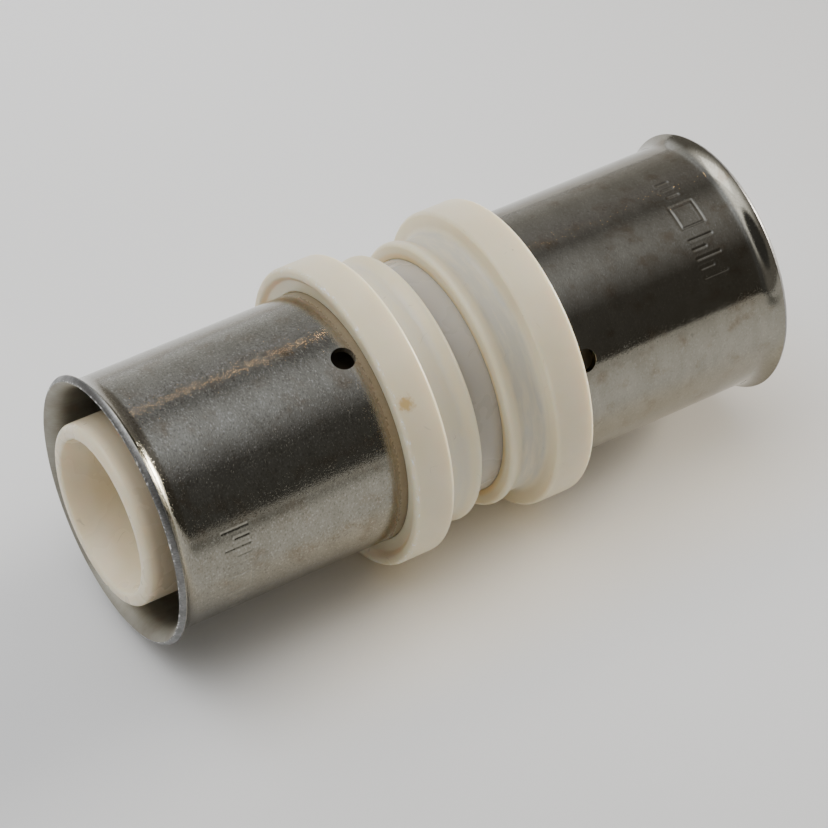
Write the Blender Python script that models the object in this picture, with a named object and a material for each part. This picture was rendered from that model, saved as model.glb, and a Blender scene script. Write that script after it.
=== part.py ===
"""Press coupling for 25 mm multilayer composite pipe.

A moulded plastic body with an insert nipple at each end carries two stainless
press sleeves and two moulded stop rings. The waterway runs along X through the
origin. Each sleeve and each stop ring turns freely about X on the body.

Lengths in this file are millimetres. MM turns them into Blender's metres.
A profile is a closed outline of (x, r) points, where r is the distance from
the X axis. It is drawn for the +X half and mirrored for the -X half.
"""
import math

import bmesh
import bpy
from mathutils import Matrix, Vector

MM = 0.001
SEGMENTS = 36
CLEARANCE = 0.3
SIDES = {"left": -1, "right": 1}

# Insert nipple, which goes inside the pipe
NIPPLE_END_X = 37.9
NIPPLE_R = 9.8
NIPPLE_EDGE_RADIUS = 0.65
BORE_R = 7.6
MOUTH_R = 8.3
MOUTH_DEPTH = 2.7
MOUTH_EDGE = 0.22
PIPE_STOP_X = 9.2

# O-rings and their grooves
O_RING_SECTION_R = 0.65
O_RING_PROUD = 0.35
O_RING_SIDES = 8
GROOVE_WIDTH = 2 * (O_RING_SECTION_R + CLEARANCE) + 0.1
GROOVE_ROOT_R = NIPPLE_R + O_RING_PROUD - 2 * O_RING_SECTION_R - CLEARANCE
GROOVE_X = {"outer": 31.4, "inner": 20.4}

# Barbs, which grip the pipe's inner wall
BARB_COUNT = 3
BARB_PITCH = 2.1
BARB_DEPTH = 0.6
BARB_START_X = {"outer": 29.0, "inner": 18.0}

# Centre collar of the body
COLLAR_R = 12.85
COLLAR_HALF_LENGTH = 7.1
SEAT_R = 12.4
SNAP_GROOVE_X = 5.2
SNAP_GROOVE_WIDTH = 1.2
SNAP_DEPTH = 0.5

# Press sleeve, drawn from sheet
SHEET = 0.8
SLEEVE_R = 13.6
MOUTH_RIM_X = 36.1
FLARE_RADIUS = 2.5
FLARE_ANGLE = math.radians(50)
FOOT_X = 7.7
FOOT_RADIUS = 0.8
FOOT_ANGLE = math.radians(90)
BEND_STEPS = 4

# Inspection windows in the sleeve, which show that the pipe is fully home
WINDOW_COUNT = 3
WINDOW_X = 12.2
WINDOW_RADIUS = 1.25
WINDOW_SIDES = 16
WINDOW_TURN = {"left": math.radians(26), "right": math.radians(-16)}

# Stop ring, which snaps over the collar and holds the sleeve's foot
LIP_X = 1.7
LIP_R = 14.65
LIP_ROUND = 0.45
LIP_SLOPE = 1.6
VALLEY_R = 14.1
VALLEY_FILLET = 0.9
FLANGE_X = 6.2
FLANGE_FRONT_X = 10.65
FLANGE_R = 16.4
FLANGE_ROUND = 0.45
RECESS_R = 15.15
RECESS_ROOT_R = 14.95
RECESS_FLOOR_X = 9.4
WEB = 0.6
WEB_R = 14.05
POCKET_R = 14.7

# Upper front direction round the axis, from which the windows are turned
WINDOW_BASE_ANGLE = math.radians(-47)

IVORY = (0.78, 0.74, 0.66)
CREAM = (0.80, 0.77, 0.70)
STEEL = (0.52, 0.51, 0.49)
BLACK_RUBBER = (0.02, 0.02, 0.02)


def clear_scene():
    for item in list(bpy.data.objects):
        bpy.data.objects.remove(item, do_unlink=True)


def make_material(name, colour, roughness, metallic=0.0):
    material = bpy.data.materials.new(name)
    material.use_nodes = True
    shader = material.node_tree.nodes["Principled BSDF"]
    shader.inputs["Base Color"].default_value = (*colour, 1.0)
    shader.inputs["Roughness"].default_value = roughness
    shader.inputs["Metallic"].default_value = metallic
    return material


def arc(centre, radius, start, end, steps):
    """Points on an arc in the (x, r) plane, with angles measured from +X towards +r."""
    points = []
    for step in range(steps + 1):
        angle = start + (end - start) * step / steps
        points.append((centre[0] + radius * math.cos(angle), centre[1] + radius * math.sin(angle)))
    return points


def mirrored(profile):
    return [(-x, r) for x, r in reversed(profile)]


def turned_mesh(name, profile, side=1):
    """Spin a closed (x, r) outline once round the X axis."""
    mesh_builder = bmesh.new()
    verts = [mesh_builder.verts.new((side * x * MM, 0.0, r * MM)) for x, r in profile]
    edges = [
        mesh_builder.edges.new((vert, verts[(index + 1) % len(verts)]))
        for index, vert in enumerate(verts)
    ]
    bmesh.ops.spin(
        mesh_builder,
        geom=verts + edges,
        cent=(0.0, 0.0, 0.0),
        axis=(1.0, 0.0, 0.0),
        angle=2 * math.pi,
        steps=SEGMENTS,
        use_merge=True,
    )
    bmesh.ops.recalc_face_normals(mesh_builder, faces=mesh_builder.faces)
    mesh = bpy.data.meshes.new(name)
    mesh_builder.to_mesh(mesh)
    mesh_builder.free()
    mesh.shade_smooth()
    mesh.set_sharp_from_angle(angle=math.radians(35))
    return mesh


def add_object(name, mesh, material=None, parent=None, x=0.0):
    item = bpy.data.objects.new(name, mesh)
    bpy.context.scene.collection.objects.link(item)
    if material is not None:
        mesh.materials.clear()
        mesh.materials.append(material)
    item.parent = parent
    item.location = (x * MM, 0.0, 0.0)
    return item


# Coupling body

def nipple_tip():
    """Flared mouth of the bore, flat end face and rounded outer edge."""
    edge_centre = (NIPPLE_END_X - NIPPLE_EDGE_RADIUS, NIPPLE_R - NIPPLE_EDGE_RADIUS)
    return [
        (NIPPLE_END_X - MOUTH_DEPTH, BORE_R),
        (NIPPLE_END_X - MOUTH_EDGE, MOUTH_R),
        (NIPPLE_END_X, MOUTH_R + MOUTH_EDGE),
        *arc(edge_centre, NIPPLE_EDGE_RADIUS, 0.0, math.pi / 2, 3),
    ]


def o_ring_groove(place):
    outer_x = GROOVE_X[place] + GROOVE_WIDTH / 2
    inner_x = GROOVE_X[place] - GROOVE_WIDTH / 2
    return [
        (outer_x, NIPPLE_R),
        (outer_x, GROOVE_ROOT_R),
        (inner_x, GROOVE_ROOT_R),
        (inner_x, NIPPLE_R),
    ]


def barbs(place):
    """Saw teeth that let the pipe slide on towards the collar and not back."""
    points = [(BARB_START_X[place], NIPPLE_R)]
    for tooth in range(BARB_COUNT):
        tooth_x = BARB_START_X[place] - tooth * BARB_PITCH
        points.append((tooth_x, NIPPLE_R - BARB_DEPTH))
        points.append((tooth_x - BARB_PITCH, NIPPLE_R))
    return points


def collar_step():
    """Pipe stop, seat under the sleeve's foot, and the groove that the stop ring snaps into."""
    groove_end_x = SNAP_GROOVE_X + SNAP_GROOVE_WIDTH
    return [
        (PIPE_STOP_X, NIPPLE_R),
        (PIPE_STOP_X, SEAT_R),
        (COLLAR_HALF_LENGTH, SEAT_R),
        (COLLAR_HALF_LENGTH, COLLAR_R),
        (groove_end_x, COLLAR_R),
        (groove_end_x, COLLAR_R - SNAP_DEPTH),
        (SNAP_GROOVE_X, COLLAR_R - SNAP_DEPTH),
        (SNAP_GROOVE_X, COLLAR_R),
    ]


def build_body(material):
    half = [
        *nipple_tip(),
        *o_ring_groove("outer"),
        *barbs("outer"),
        *o_ring_groove("inner"),
        *barbs("inner"),
        *collar_step(),
    ]
    mesh = turned_mesh("coupling_body", half + mirrored(half))
    return add_object("coupling_body", mesh, material)


# O-rings

def build_o_ring(side_name, place, material, body):
    centre_r = NIPPLE_R + O_RING_PROUD - O_RING_SECTION_R
    section = arc((0.0, centre_r), O_RING_SECTION_R, 0.0, 2 * math.pi, O_RING_SIDES)[:-1]
    name = f"o_ring_{side_name}_{place}"
    mesh = turned_mesh(name, section)
    return add_object(name, mesh, material, body, SIDES[side_name] * GROOVE_X[place])


# Press sleeves

def sleeve_bend(bend_x, radius, angle, direction):
    """Outer and inner arcs of a bend that turns the sheet away from the axis."""
    outer = []
    inner = []
    for step in range(BEND_STEPS + 1):
        turn = angle * step / BEND_STEPS
        for points, arc_radius in ((outer, radius), (inner, radius + SHEET)):
            x = bend_x + direction * arc_radius * math.sin(turn)
            points.append((x, SLEEVE_R + radius - arc_radius * math.cos(turn)))
    return outer, inner


def sleeve_profile():
    flare_x = MOUTH_RIM_X - FLARE_RADIUS * math.sin(FLARE_ANGLE)
    foot_x = FOOT_X + (FOOT_RADIUS + SHEET) * math.sin(FOOT_ANGLE)
    flare_outer, flare_inner = sleeve_bend(flare_x, FLARE_RADIUS, FLARE_ANGLE, 1)
    foot_outer, foot_inner = sleeve_bend(foot_x, FOOT_RADIUS, FOOT_ANGLE, -1)
    return foot_outer[::-1] + flare_outer + flare_inner[::-1] + foot_inner


def window_cutter(side_name, sleeve):
    """Radial cylinders that pierce the sleeve's wall."""
    cutter_builder = bmesh.new()
    for index in range(WINDOW_COUNT):
        angle = WINDOW_BASE_ANGLE + WINDOW_TURN[side_name] + index * 2 * math.pi / WINDOW_COUNT
        outward = Vector((0.0, math.sin(angle), math.cos(angle)))
        middle = outward * (SLEEVE_R - SHEET / 2) * MM
        middle.x = SIDES[side_name] * WINDOW_X * MM
        turn = outward.to_track_quat("Z", "X").to_matrix().to_4x4()
        bmesh.ops.create_cone(
            cutter_builder,
            cap_ends=True,
            segments=WINDOW_SIDES,
            radius1=WINDOW_RADIUS * MM,
            radius2=WINDOW_RADIUS * MM,
            depth=4 * SHEET * MM,
            matrix=Matrix.Translation(middle) @ turn,
        )
    mesh = bpy.data.meshes.new(f"window_cutter_{side_name}")
    cutter_builder.to_mesh(mesh)
    cutter_builder.free()
    cutter = add_object(f"window_cutter_{side_name}", mesh, parent=sleeve)
    cutter.hide_render = True
    cutter.display_type = "WIRE"
    return cutter


def build_sleeve(side_name, material, body):
    name = f"press_sleeve_{side_name}"
    mesh = turned_mesh(name, sleeve_profile(), SIDES[side_name])
    sleeve = add_object(name, mesh, material, body)
    cut = sleeve.modifiers.new("inspection_windows", "BOOLEAN")
    cut.operation = "DIFFERENCE"
    cut.object = window_cutter(side_name, sleeve)
    return sleeve


# Stop rings

def ring_outside():
    """Lip, valley and flange, from the centre of the coupling outwards."""
    lip_top_x = LIP_X + LIP_ROUND
    lip_top_r = LIP_R - LIP_ROUND
    flange_top_r = FLANGE_R - FLANGE_ROUND
    quarter = math.pi / 2
    fillet_centre = (FLANGE_X - VALLEY_FILLET, VALLEY_R + VALLEY_FILLET)
    return [
        *arc((lip_top_x, lip_top_r), LIP_ROUND, 2 * quarter, quarter, 2),
        (lip_top_x + LIP_SLOPE / 2, (LIP_R + VALLEY_R) / 2),
        (lip_top_x + LIP_SLOPE, VALLEY_R),
        *arc(fillet_centre, VALLEY_FILLET, -quarter, 0.0, 2),
        *arc((FLANGE_X + FLANGE_ROUND, flange_top_r), FLANGE_ROUND, 2 * quarter, quarter, 2),
        *arc((FLANGE_FRONT_X - FLANGE_ROUND, flange_top_r), FLANGE_ROUND, quarter, 0.0, 2),
    ]


def ring_inside():
    """Open recess round the sleeve, pocket for its foot, and snap rib, from the front inwards."""
    web_x = RECESS_FLOOR_X - WEB
    pocket_x = FOOT_X - CLEARANCE
    bore_r = COLLAR_R + CLEARANCE
    rib_front_x = SNAP_GROOVE_X + SNAP_GROOVE_WIDTH - CLEARANCE
    rib_back_x = SNAP_GROOVE_X + CLEARANCE
    rib_r = COLLAR_R - SNAP_DEPTH + CLEARANCE
    return [
        (FLANGE_FRONT_X, RECESS_R + CLEARANCE),
        (FLANGE_FRONT_X - CLEARANCE, RECESS_R),
        (RECESS_FLOOR_X, RECESS_ROOT_R),
        (RECESS_FLOOR_X, WEB_R),
        (web_x, WEB_R),
        (web_x, POCKET_R),
        (pocket_x, POCKET_R),
        (pocket_x, bore_r),
        (rib_front_x, bore_r),
        (rib_front_x, rib_r),
        (rib_back_x, rib_r),
        (rib_back_x, bore_r),
        (LIP_X, bore_r),
    ]


def build_stop_ring(side_name, material, body):
    name = f"stop_ring_{side_name}"
    mesh = turned_mesh(name, ring_outside() + ring_inside(), SIDES[side_name])
    return add_object(name, mesh, material, body)


def main():
    clear_scene()
    ivory = make_material("ivory_moulding", IVORY, 0.38)
    cream = make_material("cream_moulding", CREAM, 0.42)
    steel = make_material("satin_stainless", STEEL, 0.3, 1.0)
    rubber = make_material("black_rubber", BLACK_RUBBER, 0.6)
    body = build_body(ivory)
    for side_name in SIDES:
        build_stop_ring(side_name, cream, body)
        build_sleeve(side_name, steel, body)
        for place in GROOVE_X:
            build_o_ring(side_name, place, rubber, body)


main()
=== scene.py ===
"""Looks of a press coupling for multilayer pipe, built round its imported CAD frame.

Every visible piece is a surface turned round the X axis, finer than its CAD node and on the same
sizes. An outline is a closed list of Spot(x, r, finish), drawn for the +X half and mirrored for the
-X half. Lengths are metres, and constants in millimetres are multiplied by MM.
"""
import math
from collections import namedtuple

import bmesh
import bpy
import numpy as np
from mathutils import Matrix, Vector


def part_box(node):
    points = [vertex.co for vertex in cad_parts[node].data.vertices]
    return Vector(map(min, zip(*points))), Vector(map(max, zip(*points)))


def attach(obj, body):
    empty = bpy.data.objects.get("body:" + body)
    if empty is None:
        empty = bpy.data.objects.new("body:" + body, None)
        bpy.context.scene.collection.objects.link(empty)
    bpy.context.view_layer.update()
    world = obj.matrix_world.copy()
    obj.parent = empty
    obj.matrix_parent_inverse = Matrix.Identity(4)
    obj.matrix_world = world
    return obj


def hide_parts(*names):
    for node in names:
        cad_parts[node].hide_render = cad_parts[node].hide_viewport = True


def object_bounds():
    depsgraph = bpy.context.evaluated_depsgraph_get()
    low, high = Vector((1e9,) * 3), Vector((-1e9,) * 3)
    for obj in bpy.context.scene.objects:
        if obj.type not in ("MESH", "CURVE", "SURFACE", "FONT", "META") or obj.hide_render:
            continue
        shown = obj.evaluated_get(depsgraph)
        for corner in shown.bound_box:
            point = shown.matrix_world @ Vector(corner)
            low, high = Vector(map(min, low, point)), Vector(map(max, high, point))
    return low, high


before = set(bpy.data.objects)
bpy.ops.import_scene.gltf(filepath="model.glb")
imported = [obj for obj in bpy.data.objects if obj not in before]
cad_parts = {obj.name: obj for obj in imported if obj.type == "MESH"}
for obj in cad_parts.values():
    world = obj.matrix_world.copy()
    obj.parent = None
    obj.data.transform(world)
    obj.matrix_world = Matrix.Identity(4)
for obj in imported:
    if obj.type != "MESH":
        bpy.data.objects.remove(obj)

MM = 0.001
CAD_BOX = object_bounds()
SIDES = {"left": -1, "right": 1}
PLACES = ("outer", "inner")
Spot = namedtuple("Spot", "x r finish")
SAME_SPOT = 0.0001 * MM

# Steps of the meshes round the axis in degrees: in general, over the marks, and round the windows
COLUMN = 2.0
RUBBER_COLUMN = 3.0
MARK_COLUMN = 0.32
WINDOW_COLUMN = 0.7
WINDOW_HALF = 7
SMOOTH_ANGLE = 38

# Camera: azimuth from -Y towards +X, elevation, distance and where the origin lies in its view
CAMERA_AZIMUTH = math.radians(-32.2)
CAMERA_ELEVATION = math.radians(42.7)
TOWARDS_CAMERA = (math.sin(CAMERA_AZIMUTH), -math.cos(CAMERA_AZIMUTH), 0.0)
CAMERA_DISTANCE = 378 * MM
CAMERA_LENS = 158.4
ORIGIN_RIGHT = 0.7 * MM
ORIGIN_UP = 3.4 * MM

# Sizes read from the CAD nodes
BODY_END_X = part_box("coupling_body")[1].x
COLLAR_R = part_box("coupling_body")[1].z
RIM_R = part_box("press_sleeve_right")[1].z
SLEEVE_START_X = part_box("press_sleeve_right")[0].x
SLEEVE_END_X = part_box("press_sleeve_right")[1].x
FLANGE_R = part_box("stop_ring_right")[1].z
RIM_INNER_R = RIM_R - 0.51 * MM
RING_START_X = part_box("stop_ring_right")[0].x
RING_END_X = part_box("stop_ring_right")[1].x
FLOOR_Z = CAD_BOX[0].z
FLOOR_HALF = 2.5

# Nipple and collar of the body
NIPPLE_R = 9.8 * MM
NIPPLE_EDGE = 0.7 * MM
BORE_R = 7.6 * MM
MOUTH_R = 8.3 * MM
MOUTH_DEPTH = 2.7 * MM
MOUTH_EDGE = 0.25 * MM
PIPE_STOP_X = 9.2 * MM
SEAT_R = 12.4 * MM
COLLAR_END_X = 7.1 * MM
GROOVE_WIDTH = 2.0 * MM
GROOVE_ROOT_R = 8.55 * MM
BARB_COUNT = 3
BARB_PITCH = 2.1 * MM
BARB_DEPTH = 0.6 * MM
BARB_LEAN = 0.02 * MM
BARB_START_X = {"outer": 29.0 * MM, "inner": 18.0 * MM}
SNAP_GROOVE = (5.2 * MM, 6.4 * MM)
SNAP_DEPTH = 0.5 * MM
MOULD_ROUND = 0.12 * MM
MOUTH_ROUND = 0.4 * MM

# Press sleeve
SLEEVE_R = 13.6 * MM
SHEET = 0.8 * MM
FLARE_RADIUS = 2.5 * MM
FLARE_ANGLE = math.radians(50)
FOOT_RADIUS = 0.8 * MM
WINDOW_X = 12.2 * MM
WINDOW_R = 1.25 * MM
WINDOW_ROUND = 0.1 * MM
WINDOW_COUNT = 3
WINDOW_ANGLE = {"left": math.radians(-21), "right": math.radians(-63)}

# Stop ring
LIP_R = 14.65 * MM
LIP_ROUND = 0.5 * MM
VALLEY_R = 14.1 * MM
VALLEY_FILLET = 0.9 * MM
VALLEY_START = 2.1 * MM
SLOPE_STEPS = 9
FLANGE_X = 6.2 * MM
FLANGE_ROUND = 0.45 * MM
RECESS_R = 15.15 * MM
RECESS_FLOOR_X = 10.15 * MM
RECESS_ROOT_R = 14.95 * MM
WEB = 0.6 * MM
WEB_R = 13.635 * MM
POCKET_R = 14.7 * MM
CLEARANCE = 0.3 * MM
BORE_GAP = 0.012 * MM
RING_ROUND = 0.18 * MM

# O-rings
O_RING_SIDES = 32
FLASH = 0.02 * MM
FLASH_STEPS = (8, 24)


# ---------------------------------------------------------------- outlines and turned meshes

def arc(centre, radius, start, end, steps, finish):
    """Spots on an arc, with angles in degrees from +X towards +r."""
    spots = []
    for step in range(steps + 1):
        angle = math.radians(start + (end - start) * step / steps)
        x = centre[0] + radius * math.cos(angle)
        r = centre[1] + radius * math.sin(angle)
        spots.append(Spot(x, r, finish))
    return spots


def rounded(corners, radius, finish, steps=3):
    """An open run of (x, r) corners with every inner corner rounded."""
    spots = [Spot(*corners[0], finish)]
    for before, corner, after in zip(corners, corners[1:], corners[2:]):
        here = Vector(corner)
        to_before = Vector(before) - here
        to_after = Vector(after) - here
        reach = min(radius, to_before.length / 2, to_after.length / 2)
        first = here + to_before.normalized() * reach
        last = here + to_after.normalized() * reach
        for step in range(steps + 1):
            t = step / steps
            point = first * (1 - t) ** 2 + here * 2 * t * (1 - t) + last * t ** 2
            spots.append(Spot(point.x, point.y, finish))
    spots.append(Spot(*corners[-1], finish))
    return spots


def spread(x_start, x_end, r, spacing, finish):
    """Spots along a straight cylinder, both ends left out."""
    count = max(2, round(abs(x_end - x_start) / spacing))
    return [Spot(x_start + (x_end - x_start) * i / count, r, finish) for i in range(1, count)]


def mirrored(spots):
    return [Spot(-spot.x, spot.r, spot.finish) for spot in reversed(spots)]


def without_repeats(spots):
    """Drop each spot that lies on the one before it."""
    pairs = zip(spots[-1:] + spots, spots)
    return [spot for before, spot in pairs if math.dist(before[:2], spot[:2]) > SAME_SPOT]


def columns(base_step, dense=()):
    """Angles round the axis in radians, with finer steps in each (from, to, step) stretch, in degrees."""
    angles = set(np.round(np.arange(-180, 180, base_step), 4))
    for start, end, step in dense:
        angles = {a for a in angles if not start < a < end}
        angles |= set(np.round(np.arange(start, end, step), 4))
    return np.radians(sorted((a + 180) % 360 - 180 for a in angles))


def turned(name, spots, angles, materials, side=1, shape=None):
    """Turn a closed outline round X. Angles run from +Z towards +Y. shape moves the points."""
    spots = without_repeats(spots)
    x = np.repeat(np.array([[side * s.x] for s in spots]), len(angles), 1)
    r = np.repeat(np.array([[s.r] for s in spots]), len(angles), 1)
    angle = np.repeat(angles[None, :], len(spots), 0)
    if shape is not None:
        x, r = shape(x, r, angle)
    points = np.stack([x, r * np.sin(angle), r * np.cos(angle)], -1).reshape(-1, 3)
    rows, across = len(spots), len(angles)
    row, column = np.meshgrid(np.arange(rows), np.arange(across), indexing="ij")
    next_row, next_column = (row + 1) % rows, (column + 1) % across
    corners = [(row, column), (row, next_column), (next_row, next_column), (next_row, column)]
    faces = np.stack([a * across + b for a, b in corners], -1).reshape(-1, 4)
    mesh = bpy.data.meshes.new(name)
    mesh.from_pydata(points.tolist(), [], faces.tolist())
    finishes = np.repeat([s.finish for s in spots], across).astype(np.int32)
    mesh.polygons.foreach_set("material_index", finishes)
    tidy = bmesh.new()
    tidy.from_mesh(mesh)
    bmesh.ops.recalc_face_normals(tidy, faces=tidy.faces)
    tidy.to_mesh(mesh)
    tidy.free()
    for material in materials:
        mesh.materials.append(material)
    smooth(mesh)
    piece = bpy.data.objects.new(name, mesh)
    bpy.context.scene.collection.objects.link(piece)
    return piece


def smooth(mesh, angle=SMOOTH_ANGLE):
    mesh.shade_smooth()
    mesh.set_sharp_from_angle(angle=math.radians(angle))


def dress(piece, body, node):
    """Give a piece its CAD body and hide the node that it stands for."""
    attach(piece, body)
    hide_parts(node)
    return piece


# ---------------------------------------------------------------- node graphs

# Places of the colour inputs and of the colour output of a Mix node
MIX_FIRST, MIX_SECOND, MIX_RESULT = 6, 7, 2


class Graph:
    """A short way to write shader nodes: a value is a number, a tuple or another node's output."""

    def __init__(self, tree):
        self.tree = tree
        tree.nodes.clear()

    def add(self, kind, settings=None, **inputs):
        """A new node. An input is given by its name, or as i0, i1 and so on by its place."""
        node = self.tree.nodes.new(kind)
        for key, value in (settings or {}).items():
            setattr(node, key, value)
        for key, value in inputs.items():
            name = key.replace("_", " ")
            numbered = key[0] == "i" and key[1:].isdigit()
            self.put(node.inputs[int(key[1:]) if numbered else name], value)
        return node

    def put(self, socket, value):
        if isinstance(value, bpy.types.NodeSocket):
            self.tree.links.new(value, socket)
        else:
            socket.default_value = value

    def math(self, operation, first, second=0.0, third=None):
        node = self.add("ShaderNodeMath", {"operation": operation}, i0=first, i1=second)
        if third is not None:
            self.put(node.inputs[2], third)
        return node.outputs[0]

    def remap(self, value, low, high, new_low=0.0, new_high=1.0):
        node = self.add("ShaderNodeMapRange", {"interpolation_type": "SMOOTHSTEP"}, i0=value)
        for index, number in enumerate((low, high, new_low, new_high), 1):
            self.put(node.inputs[index], number)
        return node.outputs[0]

    def noise(self, vector, scale, detail=2.0, roughness=0.5):
        node = self.add("ShaderNodeTexNoise", Vector=vector, Scale=scale, Detail=detail, Roughness=roughness)
        return node.outputs["Fac"]

    def stretched(self, vector, factors):
        node = self.add("ShaderNodeVectorMath", {"operation": "MULTIPLY"}, i0=vector, i1=factors)
        return node.outputs["Vector"]

    def blend(self, amount, first, second):
        node = self.add("ShaderNodeMix", {"data_type": "RGBA"})
        self.put(node.inputs["Factor"], amount)
        self.put(node.inputs[MIX_FIRST], first)
        self.put(node.inputs[MIX_SECOND], second)
        return node.outputs[MIX_RESULT]

    def bump(self, height, strength, distance, normal=None):
        node = self.add("ShaderNodeBump", Height=height, Strength=strength, Distance=distance)
        if normal is not None:
            self.put(node.inputs["Normal"], normal)
        return node.outputs["Normal"]


def colour(red, green, blue):
    return (red, green, blue, 1.0)


def new_material(name):
    """A material, its graph, its Principled shader and the object coordinates in millimetres."""
    material = bpy.data.materials.new(name)
    material.use_nodes = True
    graph = Graph(material.node_tree)
    output = graph.add("ShaderNodeOutputMaterial")
    shader = graph.add("ShaderNodeBsdfPrincipled")
    graph.put(output.inputs["Surface"], shader.outputs["BSDF"])
    place = graph.add("ShaderNodeTexCoord").outputs["Object"]
    millimetres = graph.stretched(place, (1 / MM, 1 / MM, 1 / MM))
    return material, graph, shader, millimetres


def round_the_axis(graph, millimetres, radius):
    """(x, arc length, r) of a point in millimetres, for patterns that follow a turned surface.

    Also returns the x, y and z of the point, and r alone."""
    parts = graph.add("ShaderNodeSeparateXYZ", Vector=millimetres).outputs
    angle = graph.math("ARCTAN2", parts["Y"], parts["Z"])
    arc_length = graph.math("MULTIPLY", angle, radius / MM)
    z_square = graph.math("MULTIPLY", parts["Z"], parts["Z"])
    reach = graph.math("SQRT", graph.math("MULTIPLY_ADD", parts["Y"], parts["Y"], z_square))
    joined = graph.add("ShaderNodeCombineXYZ", X=parts["X"], Y=arc_length, Z=reach).outputs[0]
    return joined, parts, reach


# ---------------------------------------------------------------- materials

# Brown stains on the flanges, in millimetres, and the tone of each ring's thin wall with painted shade,
# deeper on the right ring
STAIN_AT = {"left": (-9.4, -12.2, 10.9), "right": (8.0, 14.5, -7.6)}
VALLEY_TONE_AND_SHADE = {"left": colour(0.71, 0.665, 0.55), "right": colour(0.57, 0.54, 0.455)}

# Steel. The right sleeve is the smoother one
GRAIN_RELIEF = {"left": 1.0, "right": 0.4}
EDGE_STEEL = (colour(0.15, 0.15, 0.148), colour(0.25, 0.248, 0.24))
EDGE_PATCH = colour(0.12, 0.118, 0.11)
# Painted glints: bright burr specks along the inner corner of the cut edge
BURR_GLINT_WHITE = colour(0.86, 0.85, 0.82)
INNER_STEEL = (colour(0.40, 0.385, 0.33), colour(0.32, 0.30, 0.25))
STEEL_DARK = colour(0.235, 0.222, 0.182)
STEEL_LIGHT = colour(0.275, 0.262, 0.218)
STEEL_STAIN = colour(0.165, 0.125, 0.08)
STEEL_SPOT = colour(0.11, 0.095, 0.075)
PALE_FLECK = colour(0.47, 0.455, 0.41)
DARK_FLECK = colour(0.11, 0.10, 0.08)
FLECK_SHARE = 0.54
# Tan dust with a painted reflection of the cream ring, on the steel beside each stop ring
TAN_DUST_AND_REFLECTION = colour(0.33, 0.265, 0.17)
DUST_START_X = 12.2
DUST_FULL_X = 10.3
DUST_SHARE = 0.85
DUST_ROUGHNESS = 0.3
DUST_DULLS_METAL = 0.85
STAIN_ROUGHNESS = 0.05

# Plastic, rubber, dirt, painted light and shade, and floor
IVORY = (colour(0.79, 0.71, 0.535), colour(0.75, 0.66, 0.475))
CREAM = (colour(0.785, 0.71, 0.525), colour(0.755, 0.67, 0.48))
IVORY_ROUGHNESS = 0.24
CREAM_ROUGHNESS = 0.28
MOTTLE_ROUGHNESS = 0.1
# Greyer collar: partly its own tone, partly painted shade between the stop rings
COLLAR_GREY_AND_SHADE = colour(0.45, 0.42, 0.365)
FLANK_SHADE = colour(0.46, 0.38, 0.265)
# Painted shade in the blind ends of the pipe sockets, seen dark through the windows
SOCKET_PAINTED_SHADE = colour(0.17, 0.145, 0.095)
# Painted glow: warm light through the plastic on the inner lip, in the crease beside the collar
LIP_PAINTED_GLOW = colour(0.80, 0.62, 0.33)
# Painted warm light through the plastic in the shaded sleeve recess
RECESS_PAINTED_WARM_LIGHT = colour(0.82, 0.70, 0.48)
NICK_WHITE = colour(0.93, 0.92, 0.88)
STAIN_BROWN = colour(0.54, 0.37, 0.13)
SCRATCH_BROWN = colour(0.30, 0.24, 0.17)
SPECK_BROWN = colour(0.22, 0.14, 0.08)
RUBBER_BLACK = colour(0.018, 0.018, 0.019)
RUBBER_DUST = colour(0.09, 0.088, 0.082)
PAPER = (colour(0.83, 0.835, 0.835), colour(0.85, 0.855, 0.855))
# Painted light and shade on the floor: darker near the camera, lighter far back, dim far out in front,
# darker to the right, warm beside the rings
PAPER_NEAR_PAINTED_SHADE = colour(0.66, 0.66, 0.655)
PAPER_FAR_PAINTED_LIGHT = colour(0.875, 0.88, 0.885)
PAPER_PAINTED_DIM_SHADE = colour(0.22, 0.22, 0.215)
PAPER_RIGHT_PAINTED_SHADE = colour(0.64, 0.63, 0.61)
PAPER_PAINTED_WARM_LIGHT = colour(0.97, 0.915, 0.81)


def steel_tone(graph, place, smears, stains, flecks, fleck_share):
    """Grey steel with faint smears, brown handling stains, dark spots, and pale and dark flecks."""
    spots = graph.remap(graph.noise(place, 1.1, 3.0, 0.6), 0.64, 0.78)
    tone = graph.blend(graph.remap(smears, 0.3, 0.7), STEEL_DARK, STEEL_LIGHT)
    tone = graph.blend(graph.math("MULTIPLY", stains, 0.65), tone, STEEL_STAIN)
    tone = graph.blend(graph.math("MULTIPLY", spots, 0.5), tone, STEEL_SPOT)
    tone = graph.blend(graph.remap(flecks, 0.55, 0.75, 0.0, fleck_share), tone, PALE_FLECK)
    return graph.blend(graph.remap(flecks, 0.45, 0.28, 0.0, fleck_share), tone, DARK_FLECK)


def steel_relief(graph, place, wrapped, relief):
    """Normal of the sheet: long sway, shallow dimples, fine grain and sparse pits."""
    sway = graph.noise(place, 0.1, 1.0)
    dimples = graph.noise(graph.stretched(wrapped, (1.7, 1.1, 1.0)), 1.0, 2.0)
    grain = graph.noise(graph.stretched(wrapped, (10.5, 7.5, 1.0)), 1.0, 2.0, 0.6)
    pits = graph.remap(graph.noise(graph.stretched(wrapped, (6.5, 5.0, 1.0)), 1.0, 1.0), 0.58, 0.8)
    normal = graph.bump(sway, 0.5, 0.02 * MM)
    normal = graph.bump(dimples, 0.25, 0.01 * MM * relief, normal)
    normal = graph.bump(grain, 0.8, 0.01 * MM * relief, normal)
    return graph.bump(pits, 0.8, 0.011 * MM * relief, normal)


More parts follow.
